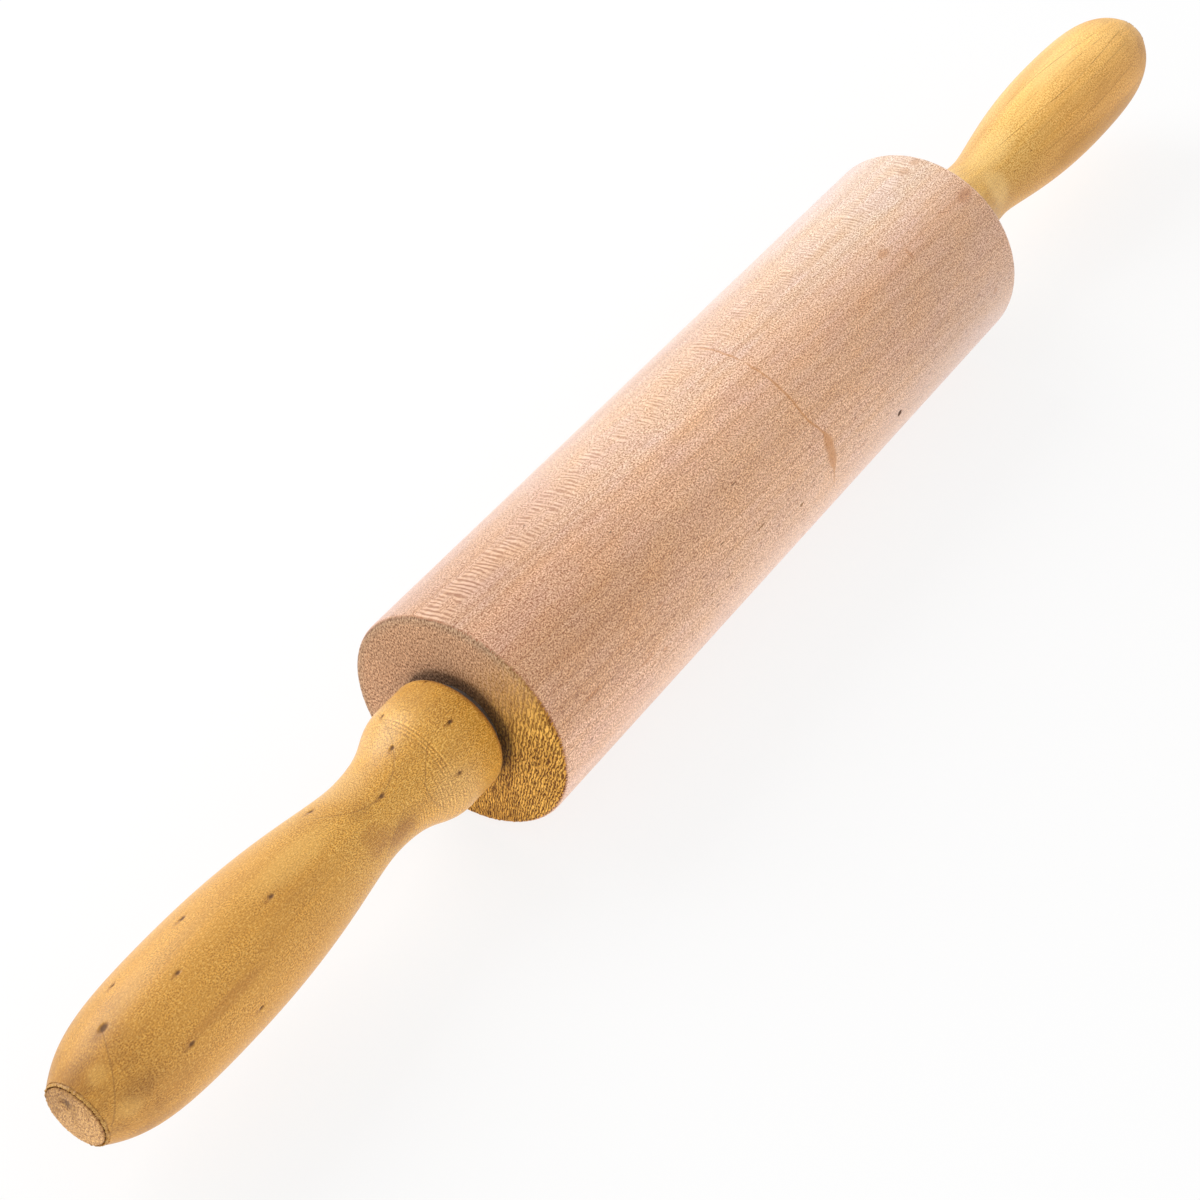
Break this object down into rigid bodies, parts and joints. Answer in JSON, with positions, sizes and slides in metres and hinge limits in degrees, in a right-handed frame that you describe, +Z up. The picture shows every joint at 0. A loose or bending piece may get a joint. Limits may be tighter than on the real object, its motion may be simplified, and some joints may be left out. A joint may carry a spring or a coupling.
{
  "type": "rolling pin",
  "caption": "Wooden rolling pin: a cylindrical barrel for rolling out dough, with turned handles that revolve on a steel axle.",
  "frame": {"origin": "on the worktop, under the middle of the barrel", "axes": "+X along the axle towards the right handle, +Z up"},
  "size_m": [0.4364, 0.0536, 0.0535],
  "materials": {
    "barrel_wood": "bare, sanded, pale pinkish tan",
    "handle_wood": "lacquered, golden ochre",
    "plug_wood": "bare end, pinkish tan",
    "steel": "bright zinc plated",
    "nylon": "natural white"
  },
  "bodies": {
    "roller": {"barrel": "barrel_wood", "axle": "steel", "left_thrust_washer": "steel", "right_thrust_washer": "steel", "left_retaining_washer": "steel", "right_retaining_washer": "steel", "left_lock_nut": "steel", "right_lock_nut": "steel", "left_lock_ring": "nylon", "right_lock_ring": "nylon"},
    "left_grip": {"left_handle": "handle_wood", "left_inner_bush": "nylon", "left_outer_bush": "nylon", "left_end_plug": "plug_wood"},
    "right_grip": {"right_handle": "handle_wood", "right_inner_bush": "nylon", "right_outer_bush": "nylon", "right_end_plug": "plug_wood"}
  },
  "joints": [
    {"name": "left_handle_spin", "type": "hinge", "parent": "roller", "child": "left_grip", "pos_m": [-0.158, 0, 0.02675], "axis": [1, 0, 0], "continuous": true},
    {"name": "right_handle_spin", "type": "hinge", "parent": "roller", "child": "right_grip", "pos_m": [0.158, 0, 0.02675], "axis": [1, 0, 0], "continuous": true}
  ]
}
